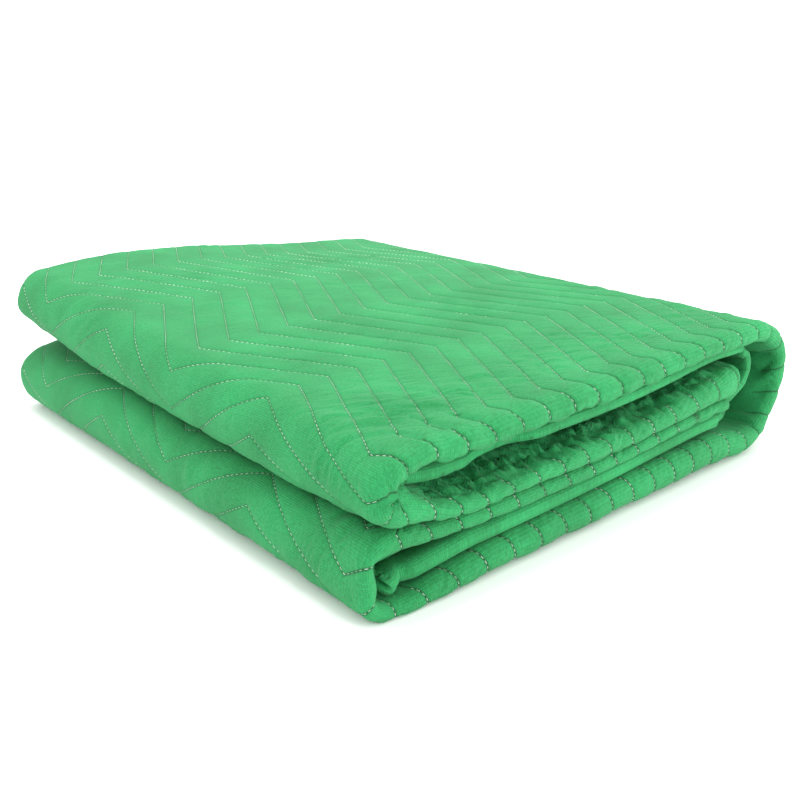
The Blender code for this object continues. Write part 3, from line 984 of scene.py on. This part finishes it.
def lay_rows(rows, face):
    """Points, their places in the cloth and triangles of one face of the cloth."""
    along, across, starts = [], [], []
    for place, part in rows:
        row = COLUMNS[part]
        starts.append(sum(len(laid) for laid in across))
        along.append(sheared(place, row))
        across.append(row)
    triangles = []
    for r in range(len(rows) - 1):
        near = range(starts[r], starts[r] + len(across[r]))
        far = range(starts[r + 1], starts[r + 1] + len(across[r + 1]))
        triangles += zip_rows(near, across[r], far, across[r + 1])
    along = np.concatenate(along)
    across = np.concatenate(across)
    points = face(along, across)
    return points, np.stack([along, across], axis=1), triangles, starts


EVERY = 4  # the inner face is flat and hidden, so it has one row for so many of the outer face
ENDS = len(EDGE_STEPS)

INNER_ROWS = [(place, "inside") for place, _ in ROWS[:ENDS] + ROWS[ENDS:-ENDS:EVERY] + ROWS[-ENDS:]]
outer_points, outer_places, outer_triangles, outer_starts = lay_rows(ROWS, outer_face)
inner_points, inner_places, inner_triangles, inner_starts = lay_rows(INNER_ROWS, inner_face)
print("outer face:", len(outer_triangles), "triangles, inner face:", len(inner_triangles))


# %% Closing the edges
def edge_indices(rows, starts, side):
    """The first or last point of every row, and its place along the cloth."""
    last = side == "last"
    found = [start + last * (len(COLUMNS[part]) - 1) for (_, part), start in zip(rows, starts)]
    return found, [place for place, _ in rows]


shift = len(outer_points)
rim = []
for side in ("first", "last"):
    outer_edge, outer_at = edge_indices(ROWS, outer_starts, side)
    inner_edge, inner_at = edge_indices(INNER_ROWS, inner_starts, side)
    strip = zip_rows([i + shift for i in inner_edge], inner_at, outer_edge, outer_at)
    rim += strip if side == "last" else [face[::-1] for face in strip]
for r in (0, -1):
    outer_columns = COLUMNS[ROWS[r][1]]
    outer_row = range(outer_starts[r], outer_starts[r] + len(outer_columns))
    inner_row = range(inner_starts[r] + shift, inner_starts[r] + shift + len(COLUMNS["inside"]))
    strip = zip_rows(outer_row, outer_columns, inner_row, COLUMNS["inside"])
    rim += strip if r == -1 else [face[::-1] for face in strip]

points = np.vstack([outer_points, inner_points])
triangles = outer_triangles + [tuple(i + shift for i in face[::-1]) for face in inner_triangles]
triangles += rim
print("cloth:", len(points), "points,", len(triangles), "triangles")

# %% The blanket as an object
blanket_mesh = bpy.data.meshes.new("quilted_cloth")
blanket_mesh.from_pydata(points.tolist(), [], triangles)
blanket_mesh.shade_smooth()
quilted_cloth = put_in_scene("quilted_cloth", blanket_mesh)
corner_points = np.empty(len(blanket_mesh.loops), dtype=np.int32)
blanket_mesh.loops.foreach_get("vertex_index", corner_points)
cloth_places = np.vstack([outer_places, inner_places])
cloth_along, cloth_across = cloth_places.T
cloth_map = cloth_places[corner_points]
blanket_mesh.uv_layers.new(name="cloth").data.foreach_set("uv", cloth_map.ravel())
print("the map reaches to, m:", cloth_map.max(axis=0).round(3))

# %% [markdown]
# ## Seams and gathers on the mesh
# A seam pinches the covers to a groove that is too narrow for the mesh, and fine gathers run from
# seam to seam. Both belong to the sewing, so the mesh carries them for the material: how near a
# point is to a seam, how strongly it is gathered, and a second map that counts along the gathers.
# From the first the material paints shade into each seam's groove, and from the second it both
# bumps the gathers and paints shade into their bottoms.

# %% Seams
PINCHED = 0.0016  # half the width of the shaded groove that each seam pinches
is_outer = np.arange(len(points)) < shift
number = line_number(cloth_along, cloth_across)
from_line = np.abs(number - np.round(number)) * LINE_SPACING
shown = is_outer * on_outside(cloth_along, cloth_across)
# Where the material paints shade into the narrow groove along each seam.
seam = np.clip(1 - from_line / PINCHED, 0.0, 1.0) * (shown > EXPOSED)
# The painted shade in the seams' grooves is made darker near the lip.
seam *= 0.55 + 0.45 * bump_at(cloth_across, LIP[0] + 0.010, 0.045)  # darker near the lip
seam_shade_at = blanket_mesh.attributes.new("seam", "FLOAT", "POINT")
seam_shade_at.data.foreach_set("value", seam.astype(np.float32))
print("points on a seam:", int((seam > 0).sum()))

# %% Gathers
# The fine gathers run from seam to seam, so their own map counts along the channels' legs. In the
# dark behind the lip they run the other way, from the lip inwards.
face_across = cloth_across[np.array(triangles)].mean(axis=1).repeat(3)
at_corner, corner_across = cloth_along[corner_points], cloth_across[corner_points]
leg = np.where(leg_phase(face_across) < 0.5, 1.0, -1.0)
way = (corner_across + leg * LEG_SLOPE * at_corner) / LEG_STRETCH
behind_lip = face_across < LIP[0]
gathers_map = np.stack([
    np.where(behind_lip, corner_across, line_number(at_corner, corner_across) * LINE_SPACING),
    np.where(behind_lip, at_corner, way),
], axis=1)
blanket_mesh.uv_layers.new(name="gathers").data.foreach_set("uv", gathers_map.ravel())
# How strongly each point is gathered. It drives the gathers' bump, and also the painted shade at
# their bottoms; behind the lip it is raised, which deepens the painted shade in the mouth.
gathered = 0.25 + 0.75 * bump_at(cloth_across, OUTER[0], 0.14)
gathered *= on_outside(cloth_along, cloth_across)
in_mouth = bump_at(cloth_across, LIP[0] - 0.02, 0.035) * (cloth_along < UPPER_NOSE[1])
gathered = np.maximum(gathered, 1.6 * in_mouth) * is_outer
gathered_at = blanket_mesh.attributes.new("gathered", "FLOAT", "POINT")
gathered_at.data.foreach_set("value", gathered.astype(np.float32))
print("strongest gathers:", gathered.max())

# %% [markdown]
# ## The cover fabric
# A moving blanket's covers are a cheap plain weave of polyester or cotton waste yarn, dyed in the
# piece. It scatters light softly, with a faint pale sheen from its loose fibres and some variation
# in the dye. The weave is drawn with two crossed waves in the cloth's own coordinates, and bumps
# give the nap and the gathers. Light can't reach the gaps between yarns, the bottoms of gathers and
# the grooves along the seams, and bumps cast no shadow, so all three are also darkened a little.

# %% Sizes of the patterns
# Each is the size of one form on the cloth, in metres. Real yarn is about 0.6 mm, lint and nap are
# finer still, and all three are drawn coarser, so that they show in the render.
YARN = 0.0016
LINT = 1 / 520  # 1.9 mm, tufts of loose fibre that took the dye differently
NAP = 1 / 300  # 3.3 mm, hollows in the raised fibres
BLOTCH = 1 / 16  # 62 mm, patches of uneven dye
GATHER_LENGTH = 1 / 45  # 22 mm
GATHER_WIDTH = 1 / 170  # 5.9 mm
WAVES_PER_UNIT = 3.18  # the wave texture has so many waves in one unit at scale 1

# How much painted shade, as a share of the dark green, each place takes.
SEAM_PAINTED_SHADE = 0.85
GATHER_PAINTED_SHADE = 0.45
YARN_GAP_PAINTED_SHADE = 0.24
print("yarn drawn at, mm:", 1000 * YARN)

# %% Dye of the woven cover
woven_cover, tree, cover_shader = new_material("dyed_plain_weave_polyester")
cloth_place = add_node(tree, "ShaderNodeUVMap", {"uv_map": "cloth"}, {}).outputs["UV"]
blotches = add_node(tree, "ShaderNodeTexNoise", {}, {
    "Vector": cloth_place, "Scale": 1 / BLOTCH, "Detail": 5.0,
})
lint = add_node(tree, "ShaderNodeTexNoise", {}, {
    "Vector": cloth_place, "Scale": 1 / LINT, "Detail": 2.0,
})
tone = add_node(tree, "ShaderNodeMix", {"data_type": "FLOAT"}, {
    0: 0.5, 2: blotches.outputs["Fac"], 3: lint.outputs["Fac"],
})
dye = add_node(tree, "ShaderNodeValToRGB", {}, {"Fac": tone.outputs[0]})
for stop, position, colour in zip(dye.color_ramp.elements, (0.32, 0.68), ("#137B3E", "#27A35D")):
    stop.position = position
    stop.color = linear(colour)
print("dye stops:", len(dye.color_ramp.elements))

# %% Weave, nap and gathers
warp, weft = (
    add_node(tree, "ShaderNodeTexWave", {"bands_direction": direction}, {
        "Vector": cloth_place, "Scale": 1 / YARN / WAVES_PER_UNIT,
        "Distortion": 0.6, "Detail": 1.0, "Detail Scale": 2.0,
    })
    for direction in "XY"
)
weave = add_node(tree, "ShaderNodeMath", {"operation": "MULTIPLY"}, {
    0: warp.outputs["Fac"], 1: weft.outputs["Fac"],
})
nap = add_node(tree, "ShaderNodeTexNoise", {}, {
    "Vector": cloth_place, "Scale": 1 / NAP, "Detail": 4.0,
})
gathers_uv = add_node(tree, "ShaderNodeUVMap", {"uv_map": "gathers"}, {})
long_way = add_node(tree, "ShaderNodeVectorMath", {"operation": "MULTIPLY"}, {
    0: gathers_uv.outputs["UV"], 1: (1 / GATHER_LENGTH, 1 / GATHER_WIDTH, 0.0),
})
gather_lines = add_node(tree, "ShaderNodeTexNoise", {"noise_type": "RIDGED_MULTIFRACTAL"}, {
    "Vector": long_way.outputs["Vector"], "Scale": 1.0, "Detail": 2.0, "Roughness": 0.5,
})
gathered_here = add_node(tree, "ShaderNodeAttribute", {"attribute_name": "gathered"}, {})
gather_height = add_node(tree, "ShaderNodeMath", {"operation": "MULTIPLY"}, {
    0: gather_lines.outputs["Fac"], 1: gathered_here.outputs["Fac"],
})
print("pattern nodes so far:", len(tree.nodes))

# %% Painted shade in the hollows
# The map ranges' sockets are: value, from min, from max, to min, to max.
shade_in_gathers = add_node(tree, "ShaderNodeMapRange", {}, {
    "Value": gather_height.outputs["Value"], 1: 0.5, 2: 1.3, 3: 0.0, 4: GATHER_PAINTED_SHADE,
})
shade_between_yarns = add_node(tree, "ShaderNodeMapRange", {}, {
    "Value": weave.outputs["Value"], 1: 0.0, 2: 0.6, 3: YARN_GAP_PAINTED_SHADE, 4: 0.0,
})
# The painted shade of the gathers' bottoms and of the gaps between yarns.
dark = add_node(tree, "ShaderNodeMath", {"operation": "ADD"}, {
    0: shade_in_gathers.outputs["Result"], 1: shade_between_yarns.outputs["Result"],
})
seam_shade_here = add_node(tree, "ShaderNodeAttribute", {"attribute_name": "seam"}, {})
painted_shade_share = add_node(tree, "ShaderNodeMath", {"operation": "MULTIPLY_ADD", "use_clamp": True}, {
    0: seam_shade_here.outputs["Fac"], 1: SEAM_PAINTED_SHADE, 2: dark.outputs["Value"],
})
# The dye is mixed towards this dark green where shade is painted.
shaded_dye = add_node(tree, "ShaderNodeMix", {"data_type": "RGBA"}, {
    0: painted_shade_share.outputs["Value"], 6: dye.outputs["Color"], 7: linear("#07401C"),
})
tree.links.new(shaded_dye.outputs[2], cover_shader.inputs["Base Color"])
print("share of dark green, seam, gather, gap:", SEAM_PAINTED_SHADE, GATHER_PAINTED_SHADE, YARN_GAP_PAINTED_SHADE)

# %% Bumps and finish of the cover
fine = add_node(tree, "ShaderNodeBump", {}, {
    "Height": nap.outputs["Fac"], "Strength": 0.7, "Distance": 0.0008,
})
gathers = add_node(tree, "ShaderNodeBump", {"invert": True}, {
    "Height": gather_height.outputs["Value"], "Strength": 0.9, "Distance": 0.0030,
    "Normal": fine.outputs["Normal"],
})
threads = add_node(tree, "ShaderNodeBump", {}, {
    "Height": weave.outputs["Value"], "Strength": 0.8, "Distance": 0.0005,
    "Normal": gathers.outputs["Normal"],
})
tree.links.new(threads.outputs["Normal"], cover_shader.inputs["Normal"])
cover_shader.inputs["Roughness"].default_value = 0.85
cover_shader.inputs["IOR"].default_value = 1.45
cover_shader.inputs["Sheen Weight"].default_value = 0.06
cover_shader.inputs["Sheen Roughness"].default_value = 0.5
cover_shader.inputs["Sheen Tint"].default_value = linear("#D8F5E0")
blanket_mesh.materials.append(woven_cover)
print("nodes of the cover:", len(tree.nodes))

# %% [markdown]
# ## The stitches
# The quilting thread is pale polyester, in stitches about 5 mm long. Each one is a short bead of
# thread that dips into a needle hole at both ends. They could be painted in the material, but real
# small beads catch the light and cast a shadow, so all of them are made as one light mesh.

# %% Stitch mesh
STITCH = 0.0050  # from one needle hole to the next
THREAD = 0.00029  # half the thickness of the thread as drawn; the real one is about 0.4 mm thick
SEEN = 0.58  # share of each stitch's length that lies on top of the cloth
FIRST_STITCH = 0.012  # how far the seams start from the cloth's ends
KNOB_REACH = 0.024  # how far to both sides the twisted knob hides them
# Along a stitch. Columns: share of its length, thickness.
BEAD = [(0.0, 0.35), (0.22, 1.0), (0.78, 1.0), (1.0, 0.35)]


def stitch_places():
    """Starts and ends of the stitches in the cloth, on every line where the outer panel shows.

    There are none on the lip inside the spine and on the twisted knob, where they lie hidden.
    """
    starts, ends = [], []
    across = np.arange(LIP[0] - 0.006, OUTER[1], 0.0008)
    lines = int(CLOTH_LENGTH / LINE_SPACING) + 3
    for line in range(-lines, lines):
        line_start = TOP[0] + FIRST_LINE + line * LINE_SPACING
        along = line_start + zigzag(across)
        shown = (along > FIRST_STITCH) & (along < CLOTH_LENGTH - FIRST_STITCH)
        shown &= on_outside(along, across) > EXPOSED
        shown &= (across > OUTER[0]) | (along < SPINE[0]) | (along > SPINE[1])
        shown &= (across > OUTER[0] + 0.004) | (np.abs(along - KNOB) > KNOB_REACH)
        if shown.sum() < 5:
            continue
        line_along, line_across = along[shown], across[shown]
        seam = outer_face(line_along, line_across)
        steps = np.linalg.norm(np.diff(seam, axis=0), axis=1)
        sewn = np.concatenate([[0.0], np.cumsum(np.minimum(steps, 0.8 * STITCH))])
        holes = np.arange(STITCH * (0.3 + 0.5 * (line % 2)), sewn[-1] - STITCH, STITCH)
        start = np.interp(holes, sewn, line_across)
        end = np.interp(holes + SEEN * STITCH, sewn, line_across)
        near = (end - start) < 1.5 * STITCH
        starts.append(np.stack([line_start + zigzag(start), start], axis=1)[near])
        ends.append(np.stack([line_start + zigzag(end), end], axis=1)[near])
    return np.vstack(starts), np.vstack(ends)


starts, ends = stitch_places()
print("stitches:", len(starts))

# %% Beads of thread
rings = []
for share, thickness in BEAD:
    place = starts * (1 - share) + ends * share
    middle = outer_face(place[:, 0], place[:, 1])
    normal = cloth_normals(place[:, 0], place[:, 1])
    reach = outer_face(ends[:, 0], ends[:, 1]) - outer_face(starts[:, 0], starts[:, 1])
    side = np.cross(normal, reach)
    side /= np.maximum(np.linalg.norm(side, axis=1), 1e-9)[:, None]
    high = THREAD * (thickness * 0.9)
    for out, up_by in ((-1.0, -0.2), (0.0, 1.1), (1.0, -0.2)):
        rings.append(middle + side * out * THREAD * thickness + normal * (up_by * high))
bead_points = np.stack(rings, axis=1)  # one row per stitch, 3 points for each of the 4 rings
bead_faces = []
for ring in range(len(BEAD) - 1):
    for i in range(3):
        a, b = 3 * ring + i, 3 * ring + (i + 1) % 3
        bead_faces.append((a, b, b + 3, a + 3))
bead_faces += [(2, 1, 0), (9, 10, 11)]
all_faces = [
    tuple(i + 12 * bead for i in face) for bead in range(len(starts)) for face in bead_faces
]
thread_mesh = bpy.data.meshes.new("quilting_thread")
thread_mesh.from_pydata(bead_points.reshape(-1, 3).tolist(), [], all_faces)
thread_mesh.shade_smooth()
quilting_thread = put_in_scene("quilting_thread", thread_mesh)
print("faces of the thread:", len(all_faces))

# %% [markdown]
# ## The thread
# Quilting thread is spun polyester, twisted from two or three yarns. It is paler and a little
# glossier than the cover, and has taken up dust and dye unevenly in use, so its colour drifts
# between pale green and nearly white over some centimetres.

# %% Thread material
SOILED = 1 / 45  # 22 mm, how long a stretch of thread is of one colour

twisted_thread, tree, thread_shader = new_material("spun_polyester_thread")
object_place = add_node(tree, "ShaderNodeTexCoord", {}, {})
soil = add_node(tree, "ShaderNodeTexNoise", {}, {
    "Vector": object_place.outputs["Object"], "Scale": 1 / SOILED, "Detail": 3.0,
})
worn = add_node(tree, "ShaderNodeValToRGB", {}, {"Fac": soil.outputs["Fac"]})
for stop, position, colour in zip(worn.color_ramp.elements, (0.35, 0.6), ("#7DB98A", "#DDEEDF")):
    stop.position = position
    stop.color = linear(colour)
tree.links.new(worn.outputs["Color"], thread_shader.inputs["Base Color"])
thread_shader.inputs["Roughness"].default_value = 0.55
thread_mesh.materials.append(twisted_thread)
print("thread drawn at, mm:", 2000 * THREAD)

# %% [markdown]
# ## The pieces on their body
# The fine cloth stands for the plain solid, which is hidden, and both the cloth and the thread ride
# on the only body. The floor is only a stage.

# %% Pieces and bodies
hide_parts("blanket")
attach(quilted_cloth, "root")
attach(quilting_thread, "root")
